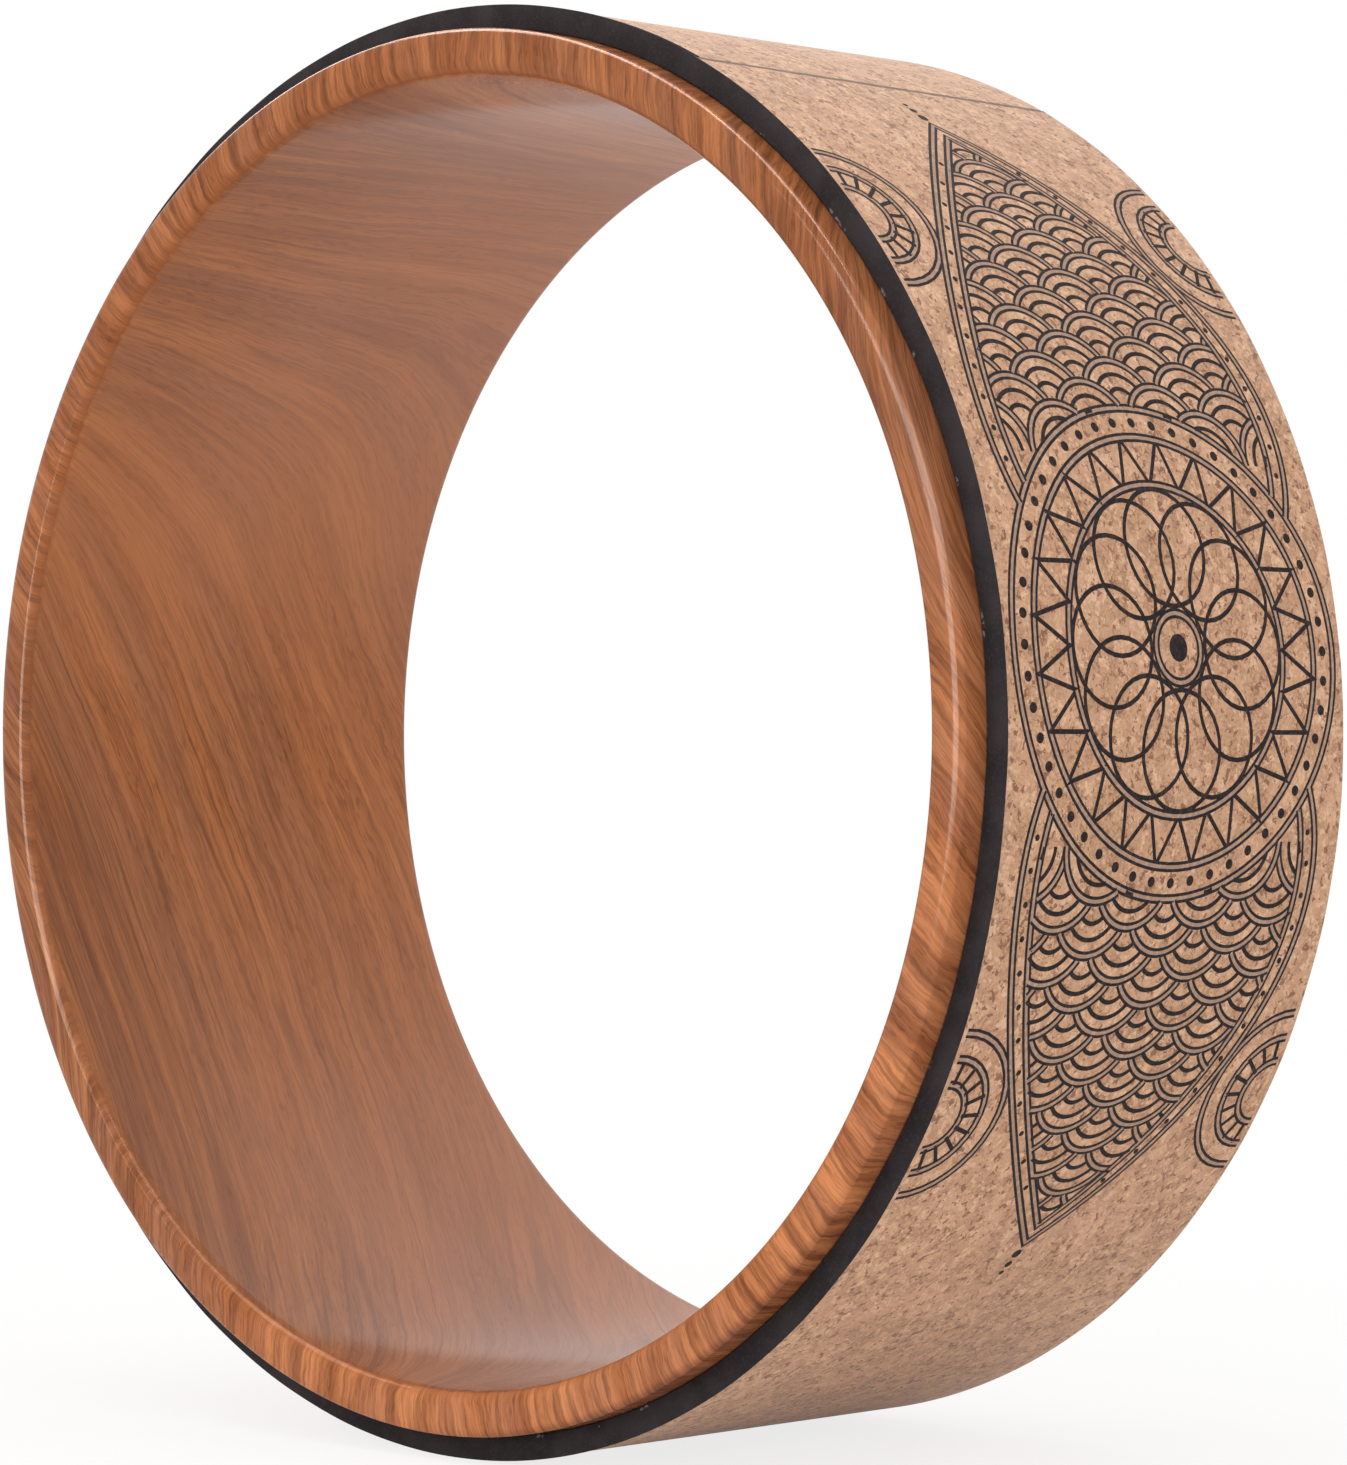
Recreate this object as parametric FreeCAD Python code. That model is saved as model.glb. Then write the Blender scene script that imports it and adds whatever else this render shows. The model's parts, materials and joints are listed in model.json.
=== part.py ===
# Yoga wheel: a plastic hoop wrapped in a foam pad and a cork cover. Lengths are in millimetres.
# The wheel stands on its tread, with its axis along Y and its centre at the origin.
import FreeCAD, Part
import math
import os

# Hoop: one plain tube with rounded edges
HOOP_OUTER_DIAMETER = 319.0
HOOP_WALL = 10.5
HOOP_WIDTH = 129.0
HOOP_OUTER_EDGE_RADIUS = 3.0
HOOP_INNER_EDGE_RADIUS = 3.5

# Wrap: the strips wound round the hoop, each on an adhesive film
WRAP_WIDTH = 114.0
# Room between the hoop and the first film
WRAP_CLEARANCE = 0.1
PAD_FILM_THICKNESS = 0.2
PAD_THICKNESS = 4.6
COVER_FILM_THICKNESS = 0.2
COVER_THICKNESS = 0.4
# Each edge of a film lies this far inside the edge of the wrap
FILM_SETBACK = 0.5

# Seam: the butt joint where the two ends of each strip meet
# Its angle is in degrees, from +X towards +Z
SEAM_ANGLE = 62.25
SEAM_GAP = 0.5
# The front end of the seam lies this far round the tread from its back end
SEAM_SKEW = 3.4

# Every cutting tool reaches this far past what it cuts
CUT_OVERRUN = 5.0

CENTRE = FreeCAD.Vector(0, 0, 0)
RADIAL_AXIS = FreeCAD.Vector(1, 0, 0)
WHEEL_AXIS = FreeCAD.Vector(0, 1, 0)

HOOP_OUTER_RADIUS = HOOP_OUTER_DIAMETER / 2
HOOP_INNER_RADIUS = HOOP_OUTER_RADIUS - HOOP_WALL
FILM_WIDTH = WRAP_WIDTH - 2 * FILM_SETBACK

# Layers of the wrap, from the hoop outwards: node, thickness and width
WRAP_LAYERS = (
    ("pad_film", PAD_FILM_THICKNESS, FILM_WIDTH),
    ("foam_pad", PAD_THICKNESS, WRAP_WIDTH),
    ("cover_film", COVER_FILM_THICKNESS, FILM_WIDTH),
    ("cork_cover", COVER_THICKNESS, WRAP_WIDTH),
)


def ring(inner_radius, outer_radius, width):
    """Square-edged tube about the wheel's axis, centred across its width."""
    side = WHEEL_AXIS * (width / 2)
    reach = WHEEL_AXIS * CUT_OVERRUN
    body = Part.makeCylinder(outer_radius, width, -side, WHEEL_AXIS)
    bore = Part.makeCylinder(inner_radius, width + 2 * CUT_OVERRUN, -side - reach, WHEEL_AXIS)
    return body.cut(bore).Solids[0]


def rounded_rims(tube, rim_radius, edge_radius):
    """The tube with its two circular edges of one radius rounded over."""
    circles = [edge for edge in tube.Edges if isinstance(edge.Curve, Part.Circle)]
    rims = [circle for circle in circles if math.isclose(circle.Curve.Radius, rim_radius)]
    return tube.makeFillet(edge_radius, rims)


def hoop():
    """The load-bearing tube, rounded at its four rims."""
    tube = ring(HOOP_INNER_RADIUS, HOOP_OUTER_RADIUS, HOOP_WIDTH)
    tube = rounded_rims(tube, HOOP_OUTER_RADIUS, HOOP_OUTER_EDGE_RADIUS)
    tube = rounded_rims(tube, HOOP_INNER_RADIUS, HOOP_INNER_EDGE_RADIUS)
    return tube.Solids[0]


def seam_slot(inner_radius, outer_radius):
    """Thin slab through a strip at the seam, leaning by the seam's skew across the wrap."""
    depth = outer_radius - inner_radius + 2 * CUT_OVERRUN
    length = WRAP_WIDTH + 2 * CUT_OVERRUN
    corner = FreeCAD.Vector(inner_radius - CUT_OVERRUN, -length / 2, -SEAM_GAP / 2)
    slab = Part.makeBox(depth, length, SEAM_GAP, corner)
    lean = math.degrees(math.atan2(SEAM_SKEW, WRAP_WIDTH))
    slab.rotate(CENTRE, RADIAL_AXIS, -lean)
    slab.rotate(CENTRE, WHEEL_AXIS, -SEAM_ANGLE)
    return slab


def wrap_strip(inner_radius, outer_radius, width):
    """Strip wound once round the wheel, its ends a seam gap apart."""
    closed = ring(inner_radius, outer_radius, width)
    return closed.cut(seam_slot(inner_radius, outer_radius)).Solids[0]


def wheel():
    """Every piece of the wheel by name, from the hoop outwards."""
    pieces = {"hoop": hoop()}
    inner_radius = HOOP_OUTER_RADIUS + WRAP_CLEARANCE
    for name, thickness, width in WRAP_LAYERS:
        outer_radius = inner_radius + thickness
        pieces[name] = wrap_strip(inner_radius, outer_radius, width)
        inner_radius = outer_radius
    return pieces


os.makedirs("parts", exist_ok=True)
for name, shape in wheel().items():
    shape.exportStep("parts/" + name + ".step")
    print(name, "valid", shape.isValid(), "volume", round(shape.Volume), "mm3")
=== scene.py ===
"""Yoga wheel: a lacquered hoop in a foam pad and a printed cork cover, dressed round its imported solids."""
import json
import logging
import math
from collections.abc import Mapping, Sequence
from dataclasses import dataclass, field
from enum import Enum

import bmesh
import bpy
import numpy as np
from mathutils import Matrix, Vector


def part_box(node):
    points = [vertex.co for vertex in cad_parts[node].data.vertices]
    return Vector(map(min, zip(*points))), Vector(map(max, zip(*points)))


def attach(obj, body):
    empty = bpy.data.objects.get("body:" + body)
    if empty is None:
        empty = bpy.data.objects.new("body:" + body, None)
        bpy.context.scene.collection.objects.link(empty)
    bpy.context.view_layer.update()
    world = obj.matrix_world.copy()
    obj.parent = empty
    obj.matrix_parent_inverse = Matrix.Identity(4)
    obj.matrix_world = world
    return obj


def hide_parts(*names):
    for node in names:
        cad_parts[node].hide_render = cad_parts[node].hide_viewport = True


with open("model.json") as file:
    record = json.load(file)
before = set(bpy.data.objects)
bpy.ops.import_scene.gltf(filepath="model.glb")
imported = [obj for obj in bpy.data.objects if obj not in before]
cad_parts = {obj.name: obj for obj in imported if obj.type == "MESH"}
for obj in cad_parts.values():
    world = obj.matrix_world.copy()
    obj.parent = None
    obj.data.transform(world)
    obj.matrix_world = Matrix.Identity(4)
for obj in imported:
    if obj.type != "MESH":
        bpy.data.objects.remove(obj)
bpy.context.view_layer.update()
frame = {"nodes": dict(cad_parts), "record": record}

LOG = logging.getLogger("yoga_wheel")
ROOT_BODY = "root"
MM = 0.001
FULL_TURN = 2 * math.pi
# Strip of foam, in metres, that shows beside the cork's front edge
FOAM_LIP = 0.15 * MM
# How far, in metres, the cut front edge of the foam swells out
FRONT_SWELL = 0.4 * MM
# Warm light of the lamps that only show as glints
GLINT_TINT = (1.0, 0.83, 0.73)
# Edges between faces that meet more sharply than this, in radians, stay sharp
SHARP_FROM = math.radians(35)
# An arc has at least this many steps, and none turns by more than this, in radians
FEWEST_ARC_STEPS = 6
WIDEST_ARC_STEP = 0.2
# Keeps the corner of a line from running out to a spike
SHARPEST_MITRE = 0.3
WHITE = (1.0, 1.0, 1.0, 1.0)

Colour = tuple[float, float, float, float]
EdgeRound = tuple[float, float]
# Where a tone starts to show and where it shows in full
Bounds = tuple[float, float]


def srgb(red: int, green: int, blue: int) -> Colour:
    """Turns a screen colour into the linear one that shaders take.

    Args:
        red: red from 0 to 255.
        green: green from 0 to 255.
        blue: blue from 0 to 255.

    Returns:
        The linear colour with full alpha.
    """
    shares = (channel / 255 for channel in (red, green, blue))
    linear = (share / 12.92 if share <= 0.04045 else ((share + 0.055) / 1.055) ** 2.4 for share in shares)
    return (*linear, 1.0)


class Wire:
    """A socket of a node graph, with arithmetic on its number that adds Math nodes."""

    def __init__(self, graph: "NodeGraph", socket: bpy.types.NodeSocket) -> None:
        """Keeps the graph that takes new nodes and the socket that gives the value."""
        self.graph = graph
        self.socket = socket

    def __add__(self, other: "Wire | float") -> "Wire":
        """This number plus another."""
        return self.graph.math("ADD", self, other)

    __radd__ = __add__

    def __sub__(self, other: "Wire | float") -> "Wire":
        """This number less another."""
        return self.graph.math("SUBTRACT", self, other)

    def __rsub__(self, other: float) -> "Wire":
        """A plain number less this one."""
        return self.graph.math("SUBTRACT", other, self)

    def __mul__(self, other: "Wire | float") -> "Wire":
        """This number times another."""
        return self.graph.math("MULTIPLY", self, other)

    __rmul__ = __mul__

    def __abs__(self) -> "Wire":
        """This number without its sign."""
        return self.graph.math("ABSOLUTE", self)

    def __gt__(self, other: "Wire | float") -> "Wire":
        """One where this number is the larger, else zero."""
        return self.graph.math("GREATER_THAN", self, other)

    def root(self) -> "Wire":
        """Square root of this number."""
        return self.graph.math("SQRT", self)

    def larger(self, other: "Wire | float") -> "Wire":
        """The larger of this number and another."""
        return self.graph.math("MAXIMUM", self, other)

    def ramp(self, start: float, end: float) -> "Wire":
        """Eases from 0 to 1 as this number goes from start to end.

        Args:
            start: where the result is 0.
            end: where the result is 1, above or below start.

        Returns:
            The eased share.
        """
        settings = {"interpolation_type": "SMOOTHSTEP"}
        sockets = {"Value": self, "From Min": start, "From Max": end}
        return self.graph.wire("ShaderNodeMapRange", "Result", settings, sockets)

    def window(self, start: float, end: float, ease: float) -> "Wire":
        """One between two bounds and zero outside, with eased edges.

        Args:
            start: lower bound.
            end: upper bound.
            ease: how far outside each bound the result reaches zero.

        Returns:
            The share inside.
        """
        return self.ramp(start - ease, start) * self.ramp(end + ease, end)


class NodeGraph:
    """Nodes of a material or world, added and linked by plain expressions."""

    def __init__(self, tree: bpy.types.NodeTree) -> None:
        """Starts from an emptied tree."""
        self.tree = tree
        tree.nodes.clear()

    def node(
        self, kind: str, settings: Mapping | None = None, sockets: Mapping | None = None
    ) -> bpy.types.Node:
        """Adds one node.

        Args:
            kind: Blender's type of the node.
            settings: the node's properties, set first, where stops are those of a colour ramp.
            sockets: values or wires of its inputs, by identifier, name or place.

        Returns:
            The node.
        """
        added = self.tree.nodes.new(kind)
        for name, value in (settings or {}).items():
            if name == "stops":
                self.set_stops(added.color_ramp, value)
            else:
                setattr(added, name, value)
        for key, value in (sockets or {}).items():
            socket = self.input_of(added, key)
            if isinstance(value, Wire):
                self.tree.links.new(value.socket, socket)
            else:
                socket.default_value = value
        return added

    def wire(
        self, kind: str, output: str | int, settings: Mapping | None = None, sockets: Mapping | None = None
    ) -> Wire:
        """Adds one node and gives one of its outputs, by name or place."""
        return Wire(self, self.node(kind, settings, sockets).outputs[output])

    @staticmethod
    def set_stops(color_ramp: bpy.types.ColorRamp, stops: Sequence[tuple[float, Colour]]) -> None:
        """Gives a colour ramp its stops.

        Args:
            color_ramp: the ramp, which has two stops when new.
            stops: places and colours, in order.
        """
        while len(color_ramp.elements) < len(stops):
            color_ramp.elements.new(1.0)
        for element, (place, colour) in zip(color_ramp.elements, stops):
            element.position = place
            element.color = colour

    @staticmethod
    def input_of(node: bpy.types.Node, key: str | int) -> bpy.types.NodeSocket:
        """Finds an input socket.

        Args:
            node: the node that has it.
            key: its identifier, name or place.

        Returns:
            The socket.
        """
        if isinstance(key, int):
            return node.inputs[key]
        exact = [socket for socket in node.inputs if socket.identifier == key]
        return exact[0] if exact else node.inputs[key]

    def math(self, operation: str, *operands: Wire | float) -> Wire:
        """Adds a Math node.

        Args:
            operation: Blender's name of the operation.
            operands: its numbers or wires, in order.

        Returns:
            The result.
        """
        return self.wire("ShaderNodeMath", 0, {"operation": operation}, dict(enumerate(operands)))

    def vector(self, operation: str, first: Wire, second: Wire | Sequence[float] | float) -> Wire:
        """Adds a Vector Math node.

        Args:
            operation: Blender's name of the operation.
            first: the vector that it works on.
            second: the other vector, or the factor of SCALE.

        Returns:
            The resulting vector.
        """
        second_key = "Scale" if operation == "SCALE" else 1
        sockets = {0: first, second_key: second}
        return self.wire("ShaderNodeVectorMath", "Vector", {"operation": operation}, sockets)

    def mix(
        self, first: Wire | Colour, second: Wire | Colour, share: Wire | float, kind: str = "MIX"
    ) -> Wire:
        """Mixes two colours.

        Args:
            first: the colour at share 0.
            second: the colour at share 1, or the one that a blend kind works with.
            share: how much of the second shows.
            kind: Blender's blend type.

        Returns:
            The mixed colour.
        """
        settings = {"data_type": "RGBA", "blend_type": kind}
        sockets = {"Factor_Float": share, "A_Color": first, "B_Color": second}
        mixed = self.node("ShaderNodeMix", settings, sockets)
        return Wire(self, next(socket for socket in mixed.outputs if socket.identifier == "Result_Color"))

    def noise(self, place: Wire, size: float, detail: float = 2.0, roughness: float = 0.5) -> Wire:
        """Cloudy noise from 0 to 1.

        Args:
            place: the place in millimetres.
            size: size of its main blotches in millimetres.
            detail: how many finer layers it has.
            roughness: how strong the finer layers are.

        Returns:
            The noise.
        """
        sockets = {"Vector": place, "Scale": 1 / size, "Detail": detail, "Roughness": roughness}
        return self.wire("ShaderNodeTexNoise", 0, {"noise_dimensions": "3D"}, sockets)

    def cells(self, place: Wire, size: float) -> tuple[Wire, Wire]:
        """Random cells.

        Args:
            place: the place in millimetres.
            size: width of a cell in millimetres.

        Returns:
            The distance from the middle of a cell in cell widths, and a random number for each cell.
        """
        settings = {"voronoi_dimensions": "3D", "feature": "F1"}
        found = self.node("ShaderNodeTexVoronoi", settings, {"Vector": place, "Scale": 1 / size})
        number = self.wire("ShaderNodeSeparateColor", 0, None, {0: Wire(self, found.outputs["Color"])})
        return Wire(self, found.outputs["Distance"]), number

    def bump(self, height: Wire, depth: float, strength: float = 1.0) -> Wire:
        """Turns a height into a surface normal.

        Args:
            height: height from 0 to 1.
            depth: what a height of 1 stands for, in millimetres.
            strength: share of the tilt that is kept.

        Returns:
            The normal.
        """
        sockets = {"Height": height, "Distance": depth * MM, "Strength": strength}
        return self.wire("ShaderNodeBump", "Normal", None, sockets)


class Place:
    """Where a shaded point lies on the wheel, in millimetres."""

    def __init__(self, graph: NodeGraph) -> None:
        """Reads the object's own coordinates, which are the wheel's.

        Args:
            graph: takes the nodes.
        """
        self.graph = graph
        self.point = graph.vector("SCALE", graph.wire("ShaderNodeTexCoord", "Object"), 1 / MM)
        split = graph.node("ShaderNodeSeparateXYZ", None, {0: self.point})
        self.x, self.y, self.z = (Wire(graph, socket) for socket in split.outputs)

    def radius(self) -> Wire:
        """Distance from the wheel's axis."""
        return (self.x * self.x + self.z * self.z).root()

    def radius_across(self) -> Wire:
        """Distance from the upright line through the wheel's centre."""
        return (self.x * self.x + self.y * self.y).root()

    def turn(self, start_deg: float) -> Wire:
        """Angle round the axis from a starting angle, from minus to plus half a turn, in radians.

        Args:
            start_deg: the starting angle in degrees, from +X towards +Z.

        Returns:
            The angle.
        """
        cosine = math.cos(math.radians(start_deg))
        sine = math.sin(math.radians(start_deg))
        along = self.x * cosine + self.z * sine
        aside = self.z * cosine - self.x * sine
        return self.graph.math("ARCTAN2", aside, along)

    def facing(self, centre_deg: float, start_deg: float, end_deg: float) -> Wire:
        """Eases from 0 to 1 as the angle to either side of a direction goes from start to end."""
        return abs(self.turn(centre_deg)).ramp(math.radians(start_deg), math.radians(end_deg))

    def noise(self, size: float, detail: float = 2.0, roughness: float = 0.5) -> Wire:
        """Cloudy noise from 0 to 1 at this point, of a size in millimetres."""
        return self.graph.noise(self.point, size, detail, roughness)

    def stray(self, size: float, reach: float, detail: float = 1.0, roughness: float = 0.5) -> Wire:
        """Noise to either side of zero, by half the reach at most."""
        return (self.noise(size, detail, roughness) - 0.5) * reach


class Finish:
    """A procedural material: a subclass says how its nodes are made."""

    name: str

    def shade(self, graph: NodeGraph, place: Place) -> dict[str, object]:
        """Adds the nodes of the finish and gives the sockets of its shader."""
        raise NotImplementedError

    def material(self) -> bpy.types.Material:
        """Makes the material.

        Returns:
            A material with one Principled shader.
        """
        made = bpy.data.materials.new(self.name)
        made.use_nodes = True
        graph = NodeGraph(made.node_tree)
        shader = graph.wire("ShaderNodeBsdfPrincipled", "BSDF", None, self.shade(graph, Place(graph)))
        graph.node("ShaderNodeOutputMaterial", None, {"Surface": shader})
        return made


@dataclass(frozen=True)
class GrainFlow:
    """How grain lines run round the hoop: arches round two opposite hearts, straight between them.

    Lengths are in millimetres. Near each heart a line is a parabola, and it straightens out away from it.
    Each stray is the size and the reach of a noise that makes the lines wander.
    """

    radius: float
    heart_deg: float
    bow: float
    straight_from: float
    straight_to: float
    straight_lead: float
    strays: tuple[tuple[float, float], ...]

    def line(self, distance: Wire, offset: Wire) -> Wire:
        """Number of the grain line through a point near one heart.

        Args:
            distance: distance from the heart round the hoop.
            offset: distance from the heart across the grain's arches.

        Returns:
            The line's distance from the heart.
        """
        arch = (distance * distance + abs(offset) * self.bow).root()
        straight = distance + self.straight_lead
        return arch + (straight - arch) * distance.ramp(self.straight_from, self.straight_to)

    def lines(self, place: Place, near_offset: Wire, far_offset: Wire) -> Wire:
        """Number of the grain line through a point anywhere round the hoop.

        Args:
            place: the point.
            near_offset: its distance across from the heart that the angle names.
            far_offset: its distance across from the opposite heart.

        Returns:
            The line's number, in millimetres across the grain.
        """
        half = math.pi * self.radius
        near = abs(place.turn(self.heart_deg)) * self.radius
        near_line = self.line(near, near_offset)
        far_line = (half + 2 * self.straight_lead) - self.line(half - near, far_offset)
        line = near_line + (far_line - near_line) * (near > half / 2)
        wide, small, fine = (place.stray(size, reach) for size, reach in self.strays)
        return line + wide + (small + fine)


@dataclass(frozen=True)
class Streaks:
    """Noise drawn out along the grain, and how much of its tone it lays on. Lengths in millimetres."""

    width: float
    length: float
    detail: float
    share: float = 1.0


@dataclass(frozen=True)
class GrainPrint:
    """Colours and streaks of one wood-grain print."""

    pale: Colour
    middle: Colour
    line: Colour
    veil: Colour
    broad: Streaks
    mist: Streaks
    lines: tuple[Streaks, ...]
    pores: Streaks
    seed: float


@dataclass(frozen=True)
class WoodPrint(Finish):
    """Reddish wood-grain print under clear gloss lacquer, one print inside the hoop and one over its rims,
    with painted sheen and shade.

    Lengths are in millimetres.
    """

    inner_radius: float
    half_width: float
    name: str = "wood_print_lacquer"
    heart_deg: float = 208.5
    heart_past_edge: float = 2.5
    rim_heart_deg: float = 202.0
    rim_heart_depth: float = 9.5
    far_rim_heart_depth: float = 24.0
    far_rim_heart_share: float = 0.7
    rim_print_start: float = 0.45
    rim_print_wander: float = 0.7
    rim_print_wave: float = 2.5
    rim_print_ease: float = 0.15
    rim_print_line: float = 0.2
    rim_print_line_ease: float = 0.2
    grain_roughness: float = 0.55
    broad_bounds: Bounds = (0.32, 0.68)
    mist_bounds: Bounds = (0.42, 0.68)
    line_bounds: Bounds = (0.56, 0.3)
    pore_bounds: Bounds = (0.58, 0.7)
    pore_least: float = 0.3
    pore_seed: float = 6.0
    inner_print: GrainPrint = GrainPrint(
        srgb(200, 129, 78), srgb(175, 109, 64), srgb(102, 59, 37), srgb(160, 111, 85),
        broad=Streaks(10, 150, 2), mist=Streaks(16, 120, 1, 0.45),
        lines=(Streaks(2.6, 70, 2, 0.3), Streaks(1.2, 30, 1, 0.3), Streaks(0.5, 14, 0, 0.26)),
        pores=Streaks(0.5, 4, 0, 0.5), seed=0.0,
    )
    rim_print: GrainPrint = GrainPrint(
        srgb(211, 137, 89), srgb(173, 105, 64), srgb(88, 46, 28), srgb(169, 112, 88),
        broad=Streaks(8, 60, 2), mist=Streaks(9, 50, 1, 0.4),
        lines=(Streaks(2.4, 30, 2, 0.5), Streaks(0.9, 18, 1, 0.38), Streaks(0.42, 9, 0, 0.22)),
        pores=Streaks(0.42, 3.2, 0, 0.4), seed=7.0,
    )
    rim_top_shade: Colour = (0.7, 0.66, 0.62, 1.0)
    rim_heart_shade: Colour = (0.76, 0.78, 0.84, 1.0)
    rim_heart_reach_deg: Bounds = (46.0, 26.0)
    far_rim_heart_reach_deg: Bounds = (24.0, 6.0)
    # Painted shade on the rim's outer edge where it faces down
    rim_under_deg: float = -62.0
    rim_under_reach_deg: Bounds = (34.0, 10.0)
    rim_under_rise: Bounds = (8.5, 10.5)
    rim_under_painted_shade: Colour = (0.6, 0.6, 0.66, 1.0)
    rim_edge_rise: Bounds = (2.4, 0.6)
    rim_edge_share: float = 0.55
    flank_deg: float = 184.0
    flank_reach_deg: Bounds = (-4.0, 50.0)
    # Painted sheen: a pale veil off the flank and towards the back stands in for the lacquer's sheen
    flank_painted_sheen: Colour = srgb(181, 136, 116)
    flank_sheen_share: float = 0.52
    front_from: float = 5.0
    front_clear: float = 0.34
    back_from: float = 15.0
    back_sheen_share: float = 0.12
    front_dusk: float = 0.06
    flank_dusk: float = 0.1
    heart_dusk: float = 0.12
    heart_dusk_lines: Bounds = (130.0, 40.0)
    pale_deg: float = 158.0
    pale_reach_deg: Bounds = (24.0, 0.0)
    pale_share: float = 0.35
    # Painted shade: the inside is darkened towards its bottom, near the back
    bottom_painted_shade: Colour = (0.88, 0.85, 0.86, 1.0)
    bottom_from: float = 0.82
    bottom_across: Bounds = (50.0, 0.0)
    lacquer: float = 0.9
    edge_wear: float = 0.68
    edge_wear_span: tuple[float, float] = (0.6, 3.2)
    edge_wear_ease: float = 0.6
    edge_wear_height: Bounds = (-50.0, -100.0)
    veins: Streaks = Streaks(9, 240, 0, 0.5)
    vein_bounds: Bounds = (0.03, 0.006)
    vein_seed: float = 9.0
    vein_patch: float = 40.0
    vein_patch_bounds: Bounds = (0.38, 0.58)
    smoke: Streaks = Streaks(4, 60, 1)
    smoke_bounds: Bounds = (0.3, 0.65)
    smoke_seed: float = 5.0
    ring_tone: Colour = srgb(104, 64, 48)
    dark_rings: tuple[tuple[float, float, float, float], ...] = ((52, 96, 16, 0.4), (298, 336, 9, 0.45))

    def drawn_out(self, place: Place, line: Wire, streaks: Streaks, seed: float) -> Wire:
        """Noise drawn out along the grain.

        Args:
            place: the point.
            line: number of its grain line.
            streaks: size of the streaks.
            seed: sets this noise apart from the others.

        Returns:
            The noise from 0 to 1.
        """
        graph = place.graph
        shifted = graph.vector("ADD", place.point, (seed * streaks.length,) * 3)
        along = graph.vector("SCALE", shifted, 1 / streaks.length)
        sockets = {
            "Vector": along, "W": line * (1 / streaks.width), "Scale": 1.0,
            "Detail": streaks.detail, "Roughness": self.grain_roughness,
        }
        return graph.wire("ShaderNodeTexNoise", 0, {"noise_dimensions": "4D"}, sockets)

    def grain(self, place: Place, line: Wire, kind: GrainPrint) -> tuple[Wire, Wire]:
        """Colour of one print.

        Args:
            place: the point.
            line: number of its grain line.
            kind: the print.

        Returns:
            The colour, and how far the point lies in a pore, from 0 to 1.
        """
        graph = place.graph
        shade = self.drawn_out(place, line, kind.broad, kind.seed).ramp(*self.broad_bounds)
        mist = self.drawn_out(place, line, kind.mist, kind.seed + 1).ramp(*self.mist_bounds)
        tone = graph.mix(kind.pale, kind.middle, shade)
        tone = graph.mix(tone, kind.veil, mist * kind.mist.share)
        for number, streaks in enumerate(kind.lines, 2):
            dark = self.drawn_out(place, line, streaks, kind.seed + number).ramp(*self.line_bounds)
            tone = graph.mix(tone, kind.line, dark * streaks.share)
        pores = self.drawn_out(place, line, kind.pores, kind.seed + self.pore_seed)
        in_pore = pores.ramp(*self.pore_bounds)
        in_pore = in_pore * (shade * (1 - self.pore_least) + self.pore_least)
        return graph.mix(tone, kind.line, in_pore * kind.pores.share), in_pore

    def inner_lines(self, place: Place) -> Wire:
        """Grain lines inside the hoop, whose hearts lie at its front edge and, opposite, at its back.

        Args:
            place: the shaded point.

        Returns:
            Number of the point's grain line.
        """
        flow = GrainFlow(
            self.inner_radius, self.heart_deg,
            bow=300.0, straight_from=110.0, straight_to=235.0, straight_lead=60.0,
            strays=((80, 9), (14, 1.6), (3, 0.7)),
        )
        heart = self.half_width + self.heart_past_edge
        return flow.lines(place, place.y + heart, heart - place.y)

    def rim_lines(self, place: Place, depth: Wire) -> Wire:
        """Grain lines over a rim, which run across it and bend round a small heart on each side.

        Args:
            place: the shaded point.
            depth: its height above the hoop's inside and its distance in from the rim's face, added up.

        Returns:
            Number of the point's grain line.
        """
        flow = GrainFlow(
            self.inner_radius, self.rim_heart_deg,
            bow=110.0, straight_from=60.0, straight_to=230.0, straight_lead=5.0,
            strays=((24, 6), (5, 1.1), (1.6, 0.4)),
        )
        return flow.lines(place, depth - self.rim_heart_depth, depth - self.far_rim_heart_depth)

    def inside(self, graph: NodeGraph, place: Place) -> tuple[Wire, Wire]:
        """The print inside the hoop (arched grain, thin veins, smoky rings), with painted sheen off the
        flank and painted shade at the bottom.

        Args:
            graph: takes the nodes.
            place: the shaded point.

        Returns:
            The colour and the pores.
        """
        line = self.inner_lines(place)
        colour, pores = self.grain(place, line, self.inner_print)
        from_vein = abs(self.drawn_out(place, line, self.veins, self.vein_seed) - 0.5)
        patch = place.noise(self.vein_patch, 1.0).ramp(*self.vein_patch_bounds)
        vein = from_vein.ramp(*self.vein_bounds) * patch
        colour = graph.mix(colour, self.inner_print.line, vein * self.veins.share)
        smoke = self.drawn_out(place, line, self.smoke, self.smoke_seed).ramp(*self.smoke_bounds)
        for start, end, ease, share in self.dark_rings:
            colour = graph.mix(colour, self.ring_tone, line.window(start, end, ease) * smoke * share)
        pale = place.facing(self.pale_deg, *self.pale_reach_deg)
        colour = graph.mix(colour, self.inner_print.pale, pale * self.pale_share)
        # Painted sheen off the flank and towards the back, less near the front edge
        flank = place.facing(self.flank_deg, *self.flank_reach_deg)
        front = place.y.ramp(self.front_from, -self.half_width)
        back = place.y.ramp(self.back_from, self.half_width)
        veil = flank * (self.flank_sheen_share - front * self.front_clear) + back * self.back_sheen_share
        colour = graph.mix(colour, self.flank_painted_sheen, veil)
        dusk = front * (flank * self.flank_dusk + self.front_dusk)
        dusk = dusk + line.ramp(*self.heart_dusk_lines) * self.heart_dusk
        colour = graph.mix(colour, self.ring_tone, dusk)
        # Painted shade towards the bottom of the inside, near the back
        bottom = place.z.ramp(-self.inner_radius * self.bottom_from, -self.inner_radius)
        bottom = bottom * place.y.ramp(*self.bottom_across)
        return graph.mix(colour, self.bottom_painted_shade, bottom, "MULTIPLY"), pores

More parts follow.
